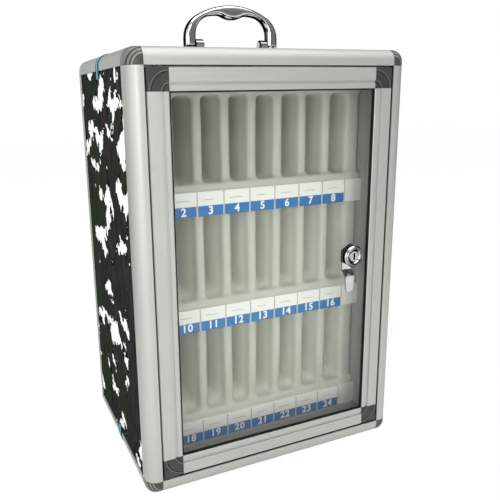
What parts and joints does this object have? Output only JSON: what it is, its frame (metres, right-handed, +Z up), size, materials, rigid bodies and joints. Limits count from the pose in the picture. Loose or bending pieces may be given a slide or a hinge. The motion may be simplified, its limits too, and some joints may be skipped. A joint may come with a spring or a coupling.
{
  "type": "phone locker box",
  "caption": "Upright aluminium-framed locker box with a glazed hinged door, cam lock, numbered foam phone slots on tiers inside and a folding carrying handle on top.",
  "frame": {"origin": "middle of the case's footprint, on the surface it stands on", "axes": "+X to the viewer's right, +Y from the door to the back, +Z up"},
  "size_m": [0.3306, 0.2425, 0.541],
  "materials": {
    "frame_aluminium": "satin anodised",
    "corner_plastic": "fine texture",
    "corner_silver": "satin",
    "camouflage_sheet": "printed camouflage, satin",
    "foam": "soft matt foam",
    "shelf_board": "matt",
    "strip_plastic": "satin",
    "card": "matt card",
    "clear_glass": "clear",
    "gasket_rubber": "matt",
    "chrome": "polished",
    "steel": "bright",
    "pivot_plastic": "smooth",
    "webbing": "woven"
  },
  "bodies": {
    "case": {"rail_front_left": "frame_aluminium", "rail_front_right": "frame_aluminium", "rail_front_top": "frame_aluminium", "rail_front_bottom": "frame_aluminium", "rail_rear_left": "frame_aluminium", "rail_rear_right": "frame_aluminium", "rail_rear_top": "frame_aluminium", "rail_rear_bottom": "frame_aluminium", "rail_side_top_left": "frame_aluminium", "rail_side_top_right": "frame_aluminium", "rail_side_bottom_left": "frame_aluminium", "rail_side_bottom_right": "frame_aluminium", "corner_front_top_left": "corner_plastic", "corner_rear_top_left": "corner_silver", "corner_front_top_right": "corner_plastic", "corner_rear_top_right": "corner_silver", "corner_front_bottom_left": "corner_plastic", "corner_rear_bottom_left": "corner_silver", "corner_front_bottom_right": "corner_plastic", "corner_rear_bottom_right": "corner_silver", "panel_left": "camouflage_sheet", "panel_right": "camouflage_sheet", "panel_bottom": "camouflage_sheet", "panel_top": "camouflage_sheet", "panel_back": "camouflage_sheet", "floor_pad": "foam", "lining_ceiling": "foam", "lining_left": "foam", "lining_right": "foam", "slot_block_lower": "foam", "slot_dividers_lower": "foam", "slot_block_middle": "foam", "slot_dividers_middle": "foam", "slot_block_upper": "foam", "slot_dividers_upper": "foam", "shelf_middle": "shelf_board", "shelf_upper": "shelf_board", "label_strips": "strip_plastic", "label_cards": "card", "pivot_bush_bottom": "pivot_plastic", "pivot_bush_top": "pivot_plastic", "handle_brackets": "chrome", "handle_pins": "steel", "bracket_screws": "steel", "strap_tabs": "webbing"},
    "door": {"door_stile_left": "frame_aluminium", "door_stile_right": "frame_aluminium", "door_rail_top": "frame_aluminium", "door_rail_bottom": "frame_aluminium", "door_corners": "corner_plastic", "door_glass": "clear_glass", "door_gasket": "gasket_rubber", "pivot_pins": "steel", "lock_housing": "chrome", "lock_nut": "steel"},
    "lock_core": {"lock_plug": "chrome", "lock_cam": "steel", "cam_screw": "steel"},
    "handle": {"handle": "chrome"}
  },
  "joints": [
    {"name": "door_hinge", "type": "hinge", "parent": "case", "child": "door", "pos_m": [-0.1352, -0.11675, 0.242], "axis": [0, 0, -1], "range_deg": [0, 110]},
    {"name": "lock_turn", "type": "hinge", "parent": "door", "child": "lock_core", "pos_m": [0.103, -0.121, 0.247], "axis": [0, -1, 0], "range_deg": [0, 90]},
    {"name": "handle_fold", "type": "hinge", "parent": "case", "child": "handle", "pos_m": [0, 0, 0.4965], "axis": [1, 0, 0], "range_deg": [-88, 88]}
  ]
}
